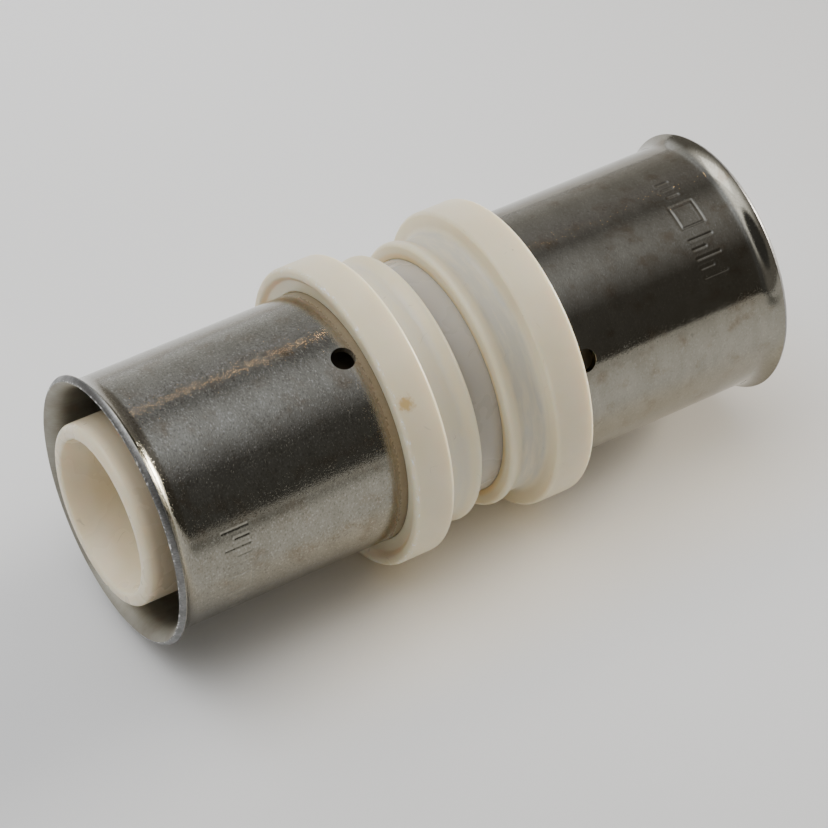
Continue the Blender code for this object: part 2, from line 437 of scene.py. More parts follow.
def ring_dust_and_reflection(graph, x, flecks):
    """Share of the tan dust and painted reflection of the cream ring, where a sleeve runs into its stop
    ring.
    """
    dust = graph.remap(graph.math("ABSOLUTE", x), DUST_START_X, DUST_FULL_X, 0.0, DUST_SHARE)
    return graph.math("MULTIPLY", dust, graph.remap(flecks, 0.35, 0.6, 0.86, 1.0))


def drawn_steel(name, relief):
    """Satin drawn stainless sheet. relief is its share of the full grain."""
    material, graph, shader, place = new_material(name)
    wrapped, parts, _ = round_the_axis(graph, place, SLEEVE_R)
    flecks = graph.noise(graph.stretched(wrapped, (5.5, 3.8, 1.0)), 1.0, 2.0)
    smears = graph.noise(graph.stretched(wrapped, (0.4, 0.17, 0.3)), 1.0, 4.0, 0.6)
    stains = graph.remap(graph.noise(place, 0.38, 4.0, 0.6), 0.5, 0.78)
    # Tan dust and painted reflection of the cream ring near the stop ring
    dust = ring_dust_and_reflection(graph, parts["X"], flecks)
    tone = steel_tone(graph, place, smears, stains, flecks, FLECK_SHARE * relief)
    graph.put(shader.inputs["Base Color"], graph.blend(dust, tone, TAN_DUST_AND_REFLECTION))
    graph.put(shader.inputs["Metallic"], graph.math("MULTIPLY_ADD", dust, -DUST_DULLS_METAL, 1.0))
    rough = graph.remap(smears, 0.3, 0.72, 0.075, 0.105)
    rough = graph.math("MULTIPLY_ADD", stains, STAIN_ROUGHNESS, rough)
    rough = graph.math("MULTIPLY_ADD", dust, DUST_ROUGHNESS, rough)
    graph.put(shader.inputs["Roughness"], rough)
    graph.put(shader.inputs["Normal"], steel_relief(graph, place, wrapped, relief))
    return material


def sheared_steel():
    """Cut edge of the sheet: dark, satin, finely scored, with painted glints as bright burr specks along its
    inner corner.
    """
    material, graph, shader, place = new_material("sheared_steel")
    wrapped, _, reach = round_the_axis(graph, place, RIM_R)
    score = graph.noise(graph.stretched(wrapped, (2.5, 9.0, 2.5)), 1.0, 3.0, 0.6)
    patches = graph.noise(place, 0.8, 3.0)
    tone = graph.blend(graph.remap(score, 0.35, 0.68), *EDGE_STEEL)
    tone = graph.blend(graph.remap(patches, 0.45, 0.7, 0.0, 0.5), tone, EDGE_PATCH)
    # Painted glints as burr specks along the inner corner
    burr = graph.remap(reach, RIM_INNER_R / MM + 0.22, RIM_INNER_R / MM + 0.05)
    burr = graph.math("MULTIPLY", burr, graph.remap(graph.noise(wrapped, 1.9, 3.0, 0.7), 0.52, 0.62))
    graph.put(shader.inputs["Base Color"], graph.blend(burr, tone, BURR_GLINT_WHITE))
    shader.inputs["Metallic"].default_value = 1.0
    graph.put(shader.inputs["Roughness"], graph.remap(patches, 0.3, 0.7, 0.3, 0.42))
    graph.put(shader.inputs["Normal"], graph.bump(score, 0.4, 0.02 * MM))
    return material


def inner_steel():
    """Inside of the sleeve: duller, with drawing lines along the tube."""
    material, graph, shader, place = new_material("inner_steel")
    wrapped = round_the_axis(graph, place, SLEEVE_R)[0]
    lines = graph.noise(graph.stretched(wrapped, (0.25, 6.0, 0.3)), 1.0, 3.0, 0.6)
    film = graph.noise(place, 0.35, 4.0, 0.6)
    graph.put(shader.inputs["Base Color"], graph.blend(graph.remap(film, 0.35, 0.7), *INNER_STEEL))
    shader.inputs["Metallic"].default_value = 1.0
    graph.put(shader.inputs["Roughness"], graph.remap(lines, 0.3, 0.7, 0.46, 0.6))
    graph.put(shader.inputs["Normal"], graph.bump(lines, 0.4, 0.01 * MM))
    return material


def hairline_scratches(graph, place):
    """Share of the short curved scratches, which follow the edges of bent cells."""
    warp = graph.add("ShaderNodeTexNoise", Vector=place, Scale=0.3, Detail=1.0).outputs["Color"]
    shift = {"operation": "MULTIPLY_ADD"}
    bent = graph.add("ShaderNodeVectorMath", shift, i0=warp, i1=(5.0, 5.0, 5.0), i2=place).outputs[0]
    to_edge = {"feature": "DISTANCE_TO_EDGE"}
    hairs = graph.add("ShaderNodeTexVoronoi", to_edge, Vector=bent, Scale=0.16).outputs["Distance"]
    patchy = graph.remap(graph.noise(place, 0.6, 2.0), 0.6, 0.68)
    return graph.math("MULTIPLY", graph.remap(hairs, 0.0, 0.008, 1.0, 0.0), patchy)


def dirt_specks(graph, place):
    """Share of the small round specks, one in some of the cells."""
    cells = graph.add("ShaderNodeTexVoronoi", Vector=place, Scale=0.33)
    speck = graph.remap(cells.outputs["Distance"], 0.02, 0.06, 1.0, 0.0)
    return graph.math("MULTIPLY", speck, graph.remap(cells.outputs["Color"], 0.72, 0.8))


def moulded_plastic(name, tones, roughness, recolour):
    """Moulded PVDF: faint mottle, moulding texture, hairline scratches and specks of dirt.

    recolour takes the graph, the place and the tone, and returns the tone of the whole piece."""
    material, graph, shader, place = new_material(name)
    mottle = graph.noise(place, 0.16, 3.0, 0.55)
    skin = graph.noise(place, 3.2, 2.0, 0.6)
    ripple = graph.noise(place, 0.5, 1.0)
    scratch = hairline_scratches(graph, place)
    tone = recolour(graph, place, graph.blend(graph.remap(mottle, 0.32, 0.7), *tones))
    tone = graph.blend(graph.math("MULTIPLY", scratch, 0.35), tone, SCRATCH_BROWN)
    tone = graph.blend(graph.math("MULTIPLY", dirt_specks(graph, place), 0.7), tone, SPECK_BROWN)
    graph.put(shader.inputs["Base Color"], tone)
    rough = graph.remap(mottle, 0.3, 0.7, roughness, roughness + MOTTLE_ROUGHNESS)
    graph.put(shader.inputs["Roughness"], rough)
    shader.inputs["Subsurface Weight"].default_value = 0.7
    shader.inputs["Subsurface Radius"].default_value = (1.0, 0.75, 0.5)
    shader.inputs["Subsurface Scale"].default_value = 2.0 * MM
    shader.inputs["IOR"].default_value = 1.45
    normal = graph.bump(ripple, 0.25, 0.08 * MM)
    normal = graph.bump(skin, 0.3, 0.012 * MM, normal)
    graph.put(shader.inputs["Normal"], graph.bump(scratch, 0.5, 0.02 * MM, normal))
    return material


def reach_and_x(graph, place):
    """Distance from the axis, and distance from the middle along it, in millimetres."""
    _, parts, reach = round_the_axis(graph, place, SLEEVE_R)
    return reach, graph.math("ABSOLUTE", parts["X"])


def between(graph, value, low, high, soft):
    """1 between two limits and 0 outside them, with soft edges."""
    rise = graph.remap(value, low - soft, low + soft)
    return graph.math("MULTIPLY", rise, graph.remap(value, high - soft, high + soft, 1.0, 0.0))


def body_colouring(graph, place, tone):
    """The collar is greyer than the nipples, partly with painted shade; the nipple flanks in the sleeve
    mouths and the blind ends of the pipe sockets are painted dark as shade.
    """
    reach, x = reach_and_x(graph, place)
    # Greyer collar, partly painted shade between the stop rings
    tone = graph.blend(graph.remap(reach, 11.8, 12.6, 0.0, 0.9), tone, COLLAR_GREY_AND_SHADE)
    # Painted shade on the nipple flanks inside the sleeve mouths, darker further in
    flank_shade = graph.math("MULTIPLY", graph.remap(x, 37.3, 36.2), between(graph, reach, 9.3, 11.0, 0.2))
    tone = graph.blend(graph.math("MULTIPLY", flank_shade, 0.7), tone, FLANK_SHADE)
    # Painted shade: the blind ends of the pipe sockets are painted dark
    socket = graph.math("MULTIPLY", between(graph, x, 9.0, 16.0, 1.0), between(graph, reach, 8.7, 12.0, 0.3))
    return graph.blend(socket, tone, SOCKET_PAINTED_SHADE)


def thin_wall(graph, place, reach, x):
    """Share of the greyer veil over the thin wall of the valley, with streaks across it; the veil is partly
    painted shade between lip and flange.
    """
    thin = graph.math("MULTIPLY", graph.remap(reach, 14.6, 14.2), between(graph, x, 3.0, 6.8, 0.4))
    streaks = graph.noise(graph.stretched(place, (1.1, 0.22, 0.22)), 1.0, 3.0, 0.6)
    return graph.math("MULTIPLY", thin, graph.remap(streaks, 0.4, 0.62, 0.85, 0.45))


def edge_nicks(graph, place, reach, x):
    """Share of the small white nicks along the outer edge of the flange."""
    edge = graph.math("MULTIPLY", between(graph, x, 10.3, 10.62, 0.08), graph.remap(reach, 15.7, 15.9))
    nicks = graph.noise(graph.stretched(place, (3.0, 1.0, 1.0)), 1.2, 4.0, 0.7)
    return graph.math("MULTIPLY", edge, graph.remap(nicks, 0.55, 0.62))


def ragged_stain(graph, place, middle):
    """Share of one small stain with a ragged outline."""
    away = graph.add("ShaderNodeVectorMath", {"operation": "DISTANCE"}, i0=place, i1=middle).outputs["Value"]
    ragged = graph.math("MULTIPLY_ADD", graph.noise(place, 1.6, 4.0, 0.7), 1.8, away)
    return graph.remap(ragged, 1.25, 2.0, 0.85, 0.0)


def ring_colouring(stain_at, valley_tone_and_shade):
    """Colouring of a stop ring: its valley with painted shade, inner lip and sleeve recess with painted warm
    light, flange edge and stain.
    """
    def recolour(graph, place, tone):
        reach, x = reach_and_x(graph, place)
        # Valley veil, partly painted shade between lip and flange
        tone = graph.blend(thin_wall(graph, place, reach, x), tone, valley_tone_and_shade)
        # Painted warm glow on the inner lip, in the crease beside the collar
        lip = graph.math("MULTIPLY", graph.remap(x, 2.5, 1.8), graph.remap(reach, 13.7, 13.2))
        tone = graph.blend(lip, tone, LIP_PAINTED_GLOW)
        # Painted warm light in the shaded sleeve recess
        recess = graph.math("MULTIPLY", graph.remap(x, 7.4, 8.4), graph.remap(reach, 15.5, 15.2, 0.0, 0.8))
        tone = graph.blend(recess, tone, RECESS_PAINTED_WARM_LIGHT)
        tone = graph.blend(edge_nicks(graph, place, reach, x), tone, NICK_WHITE)
        return graph.blend(ragged_stain(graph, place, stain_at), tone, STAIN_BROWN)
    return recolour


def seal_rubber():
    """Black EPDM with a matt skin and a little dust."""
    material, graph, shader, place = new_material("seal_rubber")
    skin = graph.noise(place, 4.0, 3.0, 0.6)
    dust = graph.noise(place, 0.8, 4.0, 0.7)
    tone = graph.blend(graph.remap(dust, 0.5, 0.8, 0.0, 0.4), RUBBER_BLACK, RUBBER_DUST)
    graph.put(shader.inputs["Base Color"], tone)
    graph.put(shader.inputs["Roughness"], graph.remap(dust, 0.3, 0.7, 0.42, 0.62))
    graph.put(shader.inputs["Normal"], graph.bump(skin, 0.4, 0.02 * MM))
    return material


def pale_floor():
    """Plain paper with painted light and shade: painted shade towards the camera and to the right, deeper
    far out in front, painted light far behind, and painted warm light beside the cream rings.
    """
    material, graph, shader, place = new_material("pale_floor")
    cloud = graph.noise(place, 0.012, 2.0)
    fibre = graph.noise(place, 1.5, 3.0, 0.6)
    nearer = {"operation": "DOT_PRODUCT"}
    nearness = graph.add("ShaderNodeVectorMath", nearer, i0=place, i1=TOWARDS_CAMERA).outputs["Value"]
    parts = graph.add("ShaderNodeSeparateXYZ", Vector=place).outputs
    tone = graph.blend(graph.remap(cloud, 0.3, 0.7), *PAPER)
    # Painted shade towards the camera
    tone = graph.blend(graph.remap(nearness, -30, 75, 0.0, 0.85), tone, PAPER_NEAR_PAINTED_SHADE)
    # Painted light far behind
    tone = graph.blend(graph.remap(nearness, -45, -95), tone, PAPER_FAR_PAINTED_LIGHT)
    # Painted deep shade far out towards the camera, except on the left
    dim = graph.math("MULTIPLY", graph.remap(nearness, 52, 108), graph.remap(parts["X"], -70, -10))
    tone = graph.blend(dim, tone, PAPER_PAINTED_DIM_SHADE)
    # Painted shade towards the right
    tone = graph.blend(graph.remap(parts["X"], 0, 120, 0.0, 0.85), tone, PAPER_RIGHT_PAINTED_SHADE)
    # Painted warm light from the cream rings on the floor beside them
    warm_light_beside_rings = between(graph, parts["Y"], -22, 8, 8)
    warm_light_beside_rings = graph.math("MULTIPLY", warm_light_beside_rings, between(graph, parts["X"], -26, 40, 14))
    tone = graph.blend(warm_light_beside_rings, tone, PAPER_PAINTED_WARM_LIGHT)
    graph.put(shader.inputs["Base Color"], tone)
    shader.inputs["Roughness"].default_value = 0.55
    shader.inputs["Specular IOR Level"].default_value = 0.2
    graph.put(shader.inputs["Normal"], graph.bump(fibre, 0.1, 0.02 * MM))
    return material


# ---------------------------------------------------------------- stamped marks on the sleeves

MARK_LENGTH = 2.8 * MM
MARK_DEPTH = 0.05 * MM
MARK_STROKE = 0.2 * MM
MARK_X = 29.6 * MM
MARK_START = {"left": math.radians(-70), "right": math.radians(-50)}
MARK_TURN = {"left": -1, "right": 1}
MARK_STEP = math.radians(4.4)
# Shares of the mark length that the shorter bars have. Places of the square and of the last bars, and
# the length of the whole row, are in steps. The margin is in degrees, and the burr a share of the depth
SHORT_BAR = 0.55
SMALL_BAR = 0.45
SQUARE_SPAN = (5.4, 8.0)
SMALL_BARS_START = 9.2
MARK_SPAN = 11.2
MARK_MARGIN = 3
BURR_HEIGHT = 0.12


def mark_strokes():
    """Plain gauge marks: long and short bars, an open square and a row of short bars.

    A stroke is two (axial, arc) points, from the middle of the first bar."""
    half = MARK_LENGTH / 2
    step = MARK_STEP * SLEEVE_R
    strokes = []
    for index in range(5):
        reach = half if index % 2 == 0 else half * SHORT_BAR
        strokes.append(((-half, index * step), (2 * reach - half, index * step)))
    low, high = (place * step for place in SQUARE_SPAN)
    square = [(-half, low), (half, low), (half, high), (-half, high)]
    strokes += list(zip(square, square[1:] + square[:1]))
    for index in range(3):
        arc_place = (SMALL_BARS_START + index) * step
        strokes.append(((-half * SMALL_BAR, arc_place), (half * SMALL_BAR, arc_place)))
    return strokes


def mark_angles(side_name):
    """Start and end of the marked stretch, in degrees."""
    turn = MARK_TURN[side_name]
    start = math.degrees(MARK_START[side_name])
    span = math.degrees(MARK_SPAN * MARK_STEP)
    return sorted((start - turn * MARK_MARGIN, start + turn * (span + MARK_MARGIN)))


def stamp_depth(axial, along):
    """How deep the marks are pressed in, with a low burr beside each stroke."""
    nearest = np.full(axial.shape, 1.0)
    for (axial_0, along_0), (axial_1, along_1) in mark_strokes():
        run = np.array([axial_1 - axial_0, along_1 - along_0])
        share = ((axial - axial_0) * run[0] + (along - along_0) * run[1]) / (run @ run)
        share = np.clip(share, 0, 1)
        reach = np.hypot(axial - axial_0 - share * run[0], along - along_0 - share * run[1])
        nearest = np.minimum(nearest, reach)
    groove = np.clip(1 - nearest / MARK_STROKE, 0, 1)
    burr = np.exp(-(((nearest - 1.5 * MARK_STROKE) / (0.5 * MARK_STROKE)) ** 2))
    return MARK_DEPTH * (groove ** 1.3 - BURR_HEIGHT * burr)


# ---------------------------------------------------------------- press sleeves

OUTSIDE, CUT_EDGE, INSIDE = 0, 1, 2
BEND_STEPS = 14
FOOT_STEPS = 8
# Mesh spacing along the sleeve: in general, across the marks and inside
SHEET_SPACING = 0.35 * MM
MARK_SPACING = 0.075 * MM
INSIDE_SPACING = 0.8 * MM
MARK_HALF = 1.8 * MM
MARK_REACH = 2.2 * MM
RIM_CROWN = 0.08 * MM
FOOT_CROWN = 0.03 * MM
OVALITY = 0.015 * MM
DRAW_WAVE = 0.008 * MM
RIM_WAVE = 0.03 * MM
RIM_WAVE_LENGTH = 2.5 * MM


def sheet_bend(bend_x, radius, angle, direction, steps):
    """Outer and inner spots of a bend that turns the sheet away from the axis."""
    outer, inner = [], []
    for step in range(steps + 1):
        turn = angle * step / steps
        for spots, arc_radius, finish in ((outer, radius, OUTSIDE), (inner, radius + SHEET, INSIDE)):
            x = bend_x + direction * arc_radius * math.sin(turn)
            spots.append(Spot(x, SLEEVE_R + radius - arc_radius * math.cos(turn), finish))
    return outer, inner


def cut_edge(first, last, bulge, steps=5):
    """Slightly crowned cut edge from one face of the sheet to the other."""
    start, end = Vector((first.x, first.r)), Vector((last.x, last.r))
    across = end - start
    outward = Vector((-across.y, across.x)).normalized()
    spots = []
    for step in range(steps + 1):
        t = 0.06 + 0.88 * step / steps
        point = start + across * t + outward * bulge * (1 - (2 * t - 1) ** 4)
        spots.append(Spot(point.x, point.y, CUT_EDGE))
    return spots


def sleeve_outline():
    flare_x = SLEEVE_END_X - (FLARE_RADIUS + SHEET) * math.sin(FLARE_ANGLE)
    foot_x = SLEEVE_START_X + FOOT_RADIUS + SHEET
    flare_outer, flare_inner = sheet_bend(flare_x, FLARE_RADIUS, FLARE_ANGLE, 1, BEND_STEPS)
    foot_outer, foot_inner = sheet_bend(foot_x, FOOT_RADIUS, math.pi / 2, -1, FOOT_STEPS)
    mark_low, mark_high = MARK_X - MARK_HALF, MARK_X + MARK_HALF
    outside = [
        *foot_outer[::-1],
        *spread(foot_x, mark_low, SLEEVE_R, SHEET_SPACING, OUTSIDE),
        *spread(mark_low, mark_high, SLEEVE_R, MARK_SPACING, OUTSIDE),
        *spread(mark_high, flare_x, SLEEVE_R, SHEET_SPACING, OUTSIDE),
        *flare_outer,
    ]
    inside = [
        *flare_inner[::-1],
        *spread(flare_x, foot_x, SLEEVE_R - SHEET, INSIDE_SPACING, INSIDE),
        *foot_inner,
    ]
    rim = cut_edge(outside[-1], inside[0], RIM_CROWN)
    foot = cut_edge(inside[-1], outside[0], FOOT_CROWN)
    return outside + rim + inside + foot


def sleeve_shape(side_name):
    """Slight ovality and waves of the sheet, and the stamped marks on its outside."""
    side = SIDES[side_name]

    def shape(x, r, angle):
        oval = OVALITY * np.cos(2 * angle + side) + DRAW_WAVE * np.cos(5 * angle + 170 * x)
        from_wave_start = np.abs(x) - SLEEVE_END_X + RIM_WAVE_LENGTH
        rim_share = np.clip(from_wave_start / RIM_WAVE_LENGTH, 0, 1) ** 2
        rim_wave = RIM_WAVE * np.cos(3 * angle + side) * rim_share
        along = (angle - MARK_START[side_name]) * MARK_TURN[side_name] * SLEEVE_R
        depth = stamp_depth(np.abs(x) - MARK_X, along)
        on_outside = (r > SLEEVE_R - SHEET / 2) & (np.abs(np.abs(x) - MARK_X) < MARK_REACH)
        return x, r + oval + rim_wave - np.where(on_outside, depth, 0)

    return shape


CUTTER_SIDES = 48
CUTTER_STEPS = 4
WINDOW_SMOOTH_ANGLE = 32


def cutter_levels():
    """(distance from the axis, radius) of a cutter with a trumpet mouth, from the inside outwards."""
    levels = [(SLEEVE_R - 2 * SHEET, WINDOW_R)]
    for step in range(CUTTER_STEPS + 1):
        turn = math.pi / 2 * step / CUTTER_STEPS
        reach = SLEEVE_R + 0.02 * MM - WINDOW_ROUND * (1 - math.sin(turn))
        levels.append((reach, WINDOW_R + WINDOW_ROUND * (1 - math.cos(turn))))
    levels.append((SLEEVE_R + 0.3 * MM, WINDOW_R + 3 * WINDOW_ROUND))
    return levels


def add_cutter(builder, x, angle):
    """One radial cutter, at a place along the axis and an angle round it."""
    outward = Vector((0.0, math.sin(angle), math.cos(angle)))
    across = Vector((0.0, math.cos(angle), -math.sin(angle)))
    along = Vector((1.0, 0.0, 0.0))
    centre = Vector((x, 0.0, 0.0))
    loops = []
    for reach, radius in cutter_levels():
        loop = []
        for corner in range(CUTTER_SIDES):
            turn = 2 * math.pi * corner / CUTTER_SIDES
            offset = (along * math.cos(turn) + across * math.sin(turn)) * radius
            loop.append(builder.verts.new(centre + outward * reach + offset))
        loops.append(loop)
    for lower, upper in zip(loops, loops[1:]):
        for corner in range(CUTTER_SIDES):
            following = (corner + 1) % CUTTER_SIDES
            builder.faces.new((lower[corner], lower[following], upper[following], upper[corner]))
    builder.faces.new(loops[0][::-1])
    builder.faces.new(loops[-1])


def window_cutter(side_name):
    """The cutters of one sleeve, which leave a rounded edge round each window."""
    builder = bmesh.new()
    for index in range(WINDOW_COUNT):
        angle = WINDOW_ANGLE[side_name] + index * 2 * math.pi / WINDOW_COUNT
        add_cutter(builder, SIDES[side_name] * WINDOW_X, angle)
    bmesh.ops.recalc_face_normals(builder, faces=builder.faces)
    mesh = bpy.data.meshes.new(f"window_cutter_{side_name}")
    builder.to_mesh(mesh)
    builder.free()
    cutter = bpy.data.objects.new(mesh.name, mesh)
    bpy.context.scene.collection.objects.link(cutter)
    return cutter


def cut_windows(piece, cutter):
    """Apply the cut and drop the cutter, so that the piece keeps a plain mesh."""
    cut = piece.modifiers.new("windows", "BOOLEAN")
    cut.operation = "DIFFERENCE"
    cut.object = cutter
    graph = bpy.context.evaluated_depsgraph_get()
    mesh = bpy.data.meshes.new_from_object(piece.evaluated_get(graph))
    piece.modifiers.clear()
    piece.data = mesh
    bpy.data.objects.remove(cutter, do_unlink=True)
    smooth(mesh, WINDOW_SMOOTH_ANGLE)


def build_sleeve(side_name, materials):
    dense = [(*mark_angles(side_name), MARK_COLUMN)]
    for index in range(WINDOW_COUNT):
        angle = math.degrees(WINDOW_ANGLE[side_name]) + 360 * index / WINDOW_COUNT
        middle = (angle + 180) % 360 - 180
        dense.append((middle - WINDOW_HALF, middle + WINDOW_HALF, WINDOW_COLUMN))
    angles = columns(COLUMN, dense)
    name = f"sleeve_{side_name}_fine"
    shape = sleeve_shape(side_name)
    piece = turned(name, sleeve_outline(), angles, materials, SIDES[side_name], shape)
    cut_windows(piece, window_cutter(side_name))
    return dress(piece, f"sleeve_{side_name}", f"press_sleeve_{side_name}")


# ---------------------------------------------------------------- body, O-rings and stop rings

def groove_corners(place):
    middle = sum(corner.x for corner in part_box(f"o_ring_right_{place}")) / 2
    outer, inner = middle + GROOVE_WIDTH / 2, middle - GROOVE_WIDTH / 2
    return [(outer, NIPPLE_R), (outer, GROOVE_ROOT_R), (inner, GROOVE_ROOT_R), (inner, NIPPLE_R)]


def barb_corners(place):
    corners = [(BARB_START_X[place], NIPPLE_R)]
    for tooth in range(BARB_COUNT):
        tooth_x = BARB_START_X[place] - tooth * BARB_PITCH
        corners.append((tooth_x - BARB_LEAN, NIPPLE_R - BARB_DEPTH))
        corners.append((tooth_x - BARB_PITCH, NIPPLE_R))
    return corners


def mouth_spots(edge_r):
    """Bore, flared mouth and end face of a nipple, up to its rounded outer edge."""
    return rounded([
        (BODY_END_X - MOUTH_DEPTH - 3 * MM, BORE_R),
        (BODY_END_X - MOUTH_DEPTH, BORE_R),
        (BODY_END_X - MOUTH_EDGE / 2, MOUTH_R),
        (BODY_END_X, MOUTH_R + MOUTH_EDGE),
        (BODY_END_X, edge_r),
    ], MOUTH_ROUND, 0, 5)


def collar_corners():
    """Pipe stop, seat of the sleeve, and the collar with its snap groove."""
    snap_inner, snap_outer = SNAP_GROOVE
    return [
        (PIPE_STOP_X, NIPPLE_R),
        (PIPE_STOP_X, SEAT_R),
        (COLLAR_END_X, SEAT_R),
        (COLLAR_END_X, COLLAR_R),
        (snap_outer, COLLAR_R),
        (snap_outer, COLLAR_R - SNAP_DEPTH),
        (snap_inner, COLLAR_R - SNAP_DEPTH),
        (snap_inner, COLLAR_R),
        (0.5 * MM, COLLAR_R),
    ]


def body_outline():
    edge_centre = (BODY_END_X - NIPPLE_EDGE, NIPPLE_R - NIPPLE_EDGE)
    corners = [
        (edge_centre[0], NIPPLE_R),
        *groove_corners("outer"),
        *barb_corners("outer"),
        *groove_corners("inner"),
        *barb_corners("inner"),
        *collar_corners(),
    ]
    half = [
        *mouth_spots(edge_centre[1])[:-1],
        *arc(edge_centre, NIPPLE_EDGE, 0, 90, 8, 0),
        *rounded(corners, MOULD_ROUND, 0, 3)[1:],
    ]
    return half + mirrored(half)


def build_body(material):
    piece = turned("body_fine", body_outline(), columns(COLUMN), [material])
    return dress(piece, "body", "coupling_body")


def build_o_ring(side_name, place, material):
    """Turned rubber ring with a fine flash line round its outside."""
    low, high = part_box(f"o_ring_{side_name}_{place}")
    section = (high.x - low.x) / 2
    centre = (abs(low.x + high.x) / 2, high.z - section)
    spots = []
    for step in range(O_RING_SIDES):
        angle = 2 * math.pi * step / O_RING_SIDES
        flash = FLASH if step in FLASH_STEPS else 0.0
        x = centre[0] + (section + flash) * math.cos(angle)
        r = centre[1] + (section + flash) * math.sin(angle)
        spots.append(Spot(x, r, 0))
    name = f"o_ring_{side_name}_{place}_fine"
    piece = turned(name, spots, columns(RUBBER_COLUMN), [material], SIDES[side_name])
    return dress(piece, "body", f"o_ring_{side_name}_{place}")


def lip_and_slope(lip_centre, valley_x):
    """Rounded lip of a stop ring and the soft slope from it down to the valley."""
    spots = arc(lip_centre, LIP_ROUND, 180, 90, 8, 0)
    for step in range(1, SLOPE_STEPS):
        t = step / SLOPE_STEPS
        ease = t * t * (3 - 2 * t)
        x = lip_centre[0] + (valley_x - lip_centre[0]) * t
        spots.append(Spot(x, LIP_R + (VALLEY_R - LIP_R) * ease, 0))
    return [*spots, Spot(valley_x, VALLEY_R, 0)]


def ring_bore(lip_centre):
    """Recess, web, pocket for the foot of the sleeve, and the bore with its snap rib."""
    web_x = RECESS_FLOOR_X - WEB
    pocket_x = SLEEVE_START_X - CLEARANCE
    bore_r = COLLAR_R + BORE_GAP
    snap_inner, snap_outer = SNAP_GROOVE[0] + CLEARANCE, SNAP_GROOVE[1] - CLEARANCE
    rib_r = COLLAR_R - SNAP_DEPTH + CLEARANCE
    return rounded([
        (RING_END_X, FLANGE_R - FLANGE_ROUND),
        (RING_END_X, RECESS_R + CLEARANCE),
        (RING_END_X - CLEARANCE, RECESS_R),
        (RECESS_FLOOR_X, RECESS_ROOT_R),
        (RECESS_FLOOR_X, WEB_R),
        (web_x, WEB_R),
        (web_x, POCKET_R),
        (pocket_x, POCKET_R),
        (pocket_x, bore_r),
        (snap_outer, bore_r),
        (snap_outer, rib_r),
        (snap_inner, rib_r),
        (snap_inner, bore_r),
        (RING_START_X, bore_r),
        (RING_START_X, lip_centre[1]),
    ], RING_ROUND, 0, 4)


def ring_outline():
    lip_centre = (RING_START_X + LIP_ROUND, LIP_R - LIP_ROUND)
    fillet_centre = (FLANGE_X - VALLEY_FILLET, VALLEY_R + VALLEY_FILLET)
    flange_r = FLANGE_R - FLANGE_ROUND
    return [
        *lip_and_slope(lip_centre, RING_START_X + VALLEY_START),
        *arc(fillet_centre, VALLEY_FILLET, -90, 0, 8, 0),
        *arc((FLANGE_X + FLANGE_ROUND, flange_r), FLANGE_ROUND, 180, 90, 8, 0),
        *arc((RING_END_X - FLANGE_ROUND, flange_r), FLANGE_ROUND, 90, 0, 8, 0)[:-1],
        *ring_bore(lip_centre)[:-1],
    ]


def build_stop_ring(side_name, material):
    name = f"ring_{side_name}_fine"
    piece = turned(name, ring_outline(), columns(COLUMN), [material], SIDES[side_name])
    return dress(piece, f"ring_{side_name}", f"stop_ring_{side_name}")


# ---------------------------------------------------------------- stage, light and camera

def camera_axes():
    back = Vector((
        math.sin(CAMERA_AZIMUTH) * math.cos(CAMERA_ELEVATION),
        -math.cos(CAMERA_AZIMUTH) * math.cos(CAMERA_ELEVATION),
        math.sin(CAMERA_ELEVATION),
    ))
    right = Vector((math.cos(CAMERA_AZIMUTH), math.sin(CAMERA_AZIMUTH), 0.0))
    return right, back.cross(right), back


def build_camera():
    right, up, back = camera_axes()
    data = bpy.data.cameras.new("camera")
    data.lens = CAMERA_LENS
    data.clip_start = 0.01
    camera = bpy.data.objects.new("camera", data)
    camera.location = back * CAMERA_DISTANCE - right * ORIGIN_RIGHT - up * ORIGIN_UP
    camera.rotation_mode = "QUATERNION"
    camera.rotation_quaternion = (-back).to_track_quat("-Z", "Y")
    bpy.context.scene.collection.objects.link(camera)
    bpy.context.scene.camera = camera


def build_floor():
    mesh = bpy.data.meshes.new("floor")
    signs = ((-1, -1), (1, -1), (1, 1), (-1, 1))
    corners = [(x * FLOOR_HALF, y * FLOOR_HALF, FLOOR_Z) for x, y in signs]
    mesh.from_pydata(corners, [], [(0, 1, 2, 3)])
    mesh.materials.append(pale_floor())
    floor = bpy.data.objects.new("floor", mesh)
    bpy.context.scene.collection.objects.link(floor)


def softbox(name, direction, distance, size, power, tint):
    """A rectangular area light that faces the object from a direction."""
    data = bpy.data.lights.new(name, "AREA")
    data.shape = "RECTANGLE"
    data.size, data.size_y = size
    data.energy = power
    data.color = tint
    light = bpy.data.objects.new(name, data)
    outward = Vector(direction).normalized()
    light.location = outward * distance
    light.rotation_mode = "QUATERNION"
    light.rotation_quaternion = (-outward).to_track_quat("-Z", "Y")
    bpy.context.scene.collection.objects.link(light)
    return light


# Light of the dark side of the room, by the elevation of a direction about X:
# 0 is the -Y horizon, 90 is up and 180 the +Y horizon
ROOM = (
    (0, (0.13, 0.13, 0.128)),
    (46, (0.155, 0.156, 0.16)),
    (57, (0.42, 0.43, 0.47)),
    (80, (1.02, 1.08, 1.22)),
    (97, (0.86, 0.90, 1.0)),
    (112, (0.38, 0.395, 0.43)),
    (132, (0.72, 0.745, 0.83)),
    (156, (0.80, 0.82, 0.86)),
    (180, (1.35, 1.38, 1.45)),
)
ROOM_FAR_SHARE = (0.36, 0.33, 0.29)
ROOM_FAR_GLOW = (0.045, 0.042, 0.036)
DARK_SIDE_X = 0.39
TENT_LOW = (0.30, 0.29, 0.275)
TENT_HIGH = (2.75, 2.75, 2.78)
PHOTOGRAPHER = (-0.50, -0.58, 0.64)
PHOTOGRAPHER_TONE = (0.1, 0.1, 0.1)


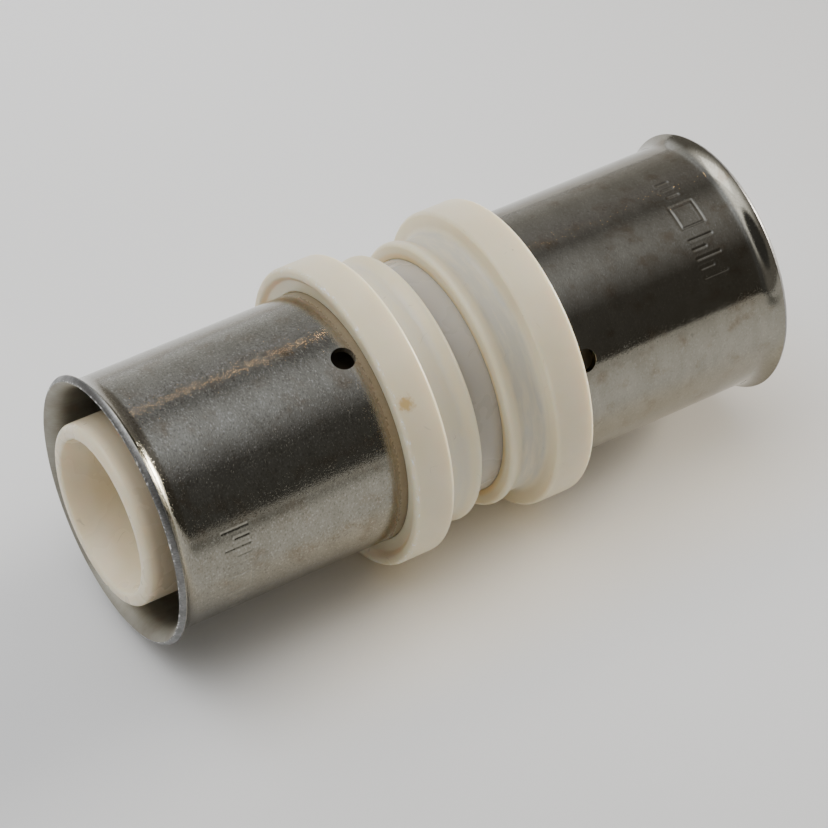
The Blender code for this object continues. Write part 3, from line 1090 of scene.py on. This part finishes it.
def room_ramp(graph, elevation):
    """Light of the dark side by elevation, from the table of the room."""
    node = graph.add("ShaderNodeValToRGB", Fac=graph.math("DIVIDE", elevation, math.pi))
    elements = node.color_ramp.elements
    while len(elements) < len(ROOM):
        elements.new(0.5)
    for element, (degrees, _) in zip(elements, ROOM):
        element.position = degrees / 180
    for element, (_, tint) in zip(elements, ROOM):
        element.color = colour(*tint)
    return node.outputs["Color"]


def build_room():
    """A dim room towards +X, and the even overhead light of a white tent towards -X."""
    world = bpy.data.worlds.new("room")
    bpy.context.scene.world = world
    world.use_nodes = True
    graph = Graph(world.node_tree)
    direction = graph.add("ShaderNodeTexCoord").outputs["Generated"]
    parts = graph.add("ShaderNodeSeparateXYZ", Vector=direction).outputs
    elevation = graph.math("ARCTAN2", parts["Z"], graph.math("MULTIPLY", parts["Y"], -1.0))
    near_room = room_ramp(graph, elevation)
    scaled = {"operation": "MULTIPLY_ADD"}
    far_room = graph.add("ShaderNodeVectorMath", scaled, i0=near_room, i1=ROOM_FAR_SHARE, i2=ROOM_FAR_GLOW)
    room = graph.blend(graph.remap(parts["X"], 0.3, 0.52), near_room, far_room.outputs["Vector"])
    tent = graph.blend(graph.remap(parts["Z"], 0.36, 0.88), colour(*TENT_LOW), colour(*TENT_HIGH))
    tent_share = graph.remap(graph.math("SUBTRACT", DARK_SIDE_X, parts["X"]), 0.2, 0.6)
    light = graph.blend(tent_share, room, tent)
    projected = {"operation": "DOT_PRODUCT"}
    facing = graph.add("ShaderNodeVectorMath", projected, i0=direction, i1=PHOTOGRAPHER)
    photographer = graph.remap(facing.outputs["Value"], 0.865, 0.94)
    light = graph.blend(photographer, light, colour(*PHOTOGRAPHER_TONE))
    background = graph.add("ShaderNodeBackground", Color=light)
    output = graph.add("ShaderNodeOutputWorld")
    graph.put(output.inputs["Surface"], background.outputs[0])


# Direction, distance, size, power and tint of each lamp
LAMPS = {
    "key_left": ((-0.35, 0.45, 0.9), 1.4, (0.9, 0.8), 4, (0.98, 1.0, 1.02)),
    "warm_lamp": ((0.96, -0.05, 0.23), 1.4, (0.62, 0.6), 9, (1.0, 0.93, 0.82)),
    "warm_core": ((0.97, 0.02, 0.19), 1.3, (0.3, 0.3), 23, (1.0, 0.95, 0.86)),
    "warm_tube": ((0.372, 0.49, 0.79), 1.5, (0.11, 0.003), 0.08, (1.0, 0.65, 0.28)),
}


def build_lights():
    for name, lamp in LAMPS.items():
        softbox(name, *lamp)


# ---------------------------------------------------------------- the whole scene

def build_pieces():
    edge, inside = sheared_steel(), inner_steel()
    steel = {side: [drawn_steel(f"drawn_steel_{side}", GRAIN_RELIEF[side]), edge, inside] for side in SIDES}
    ivory = moulded_plastic("ivory_moulding", IVORY, IVORY_ROUGHNESS, body_colouring)
    cream = {}
    for side_name in SIDES:
        recolour = ring_colouring(STAIN_AT[side_name], VALLEY_TONE_AND_SHADE[side_name])
        cream[side_name] = moulded_plastic(f"cream_moulding_{side_name}", CREAM, CREAM_ROUGHNESS, recolour)
    rubber = seal_rubber()
    build_body(ivory)
    for side_name in SIDES:
        build_sleeve(side_name, steel[side_name])
        build_stop_ring(side_name, cream[side_name])
        for place in PLACES:
            build_o_ring(side_name, place, rubber)


def main():
    build_camera()
    build_floor()
    build_room()
    build_lights()
    build_pieces()


main()
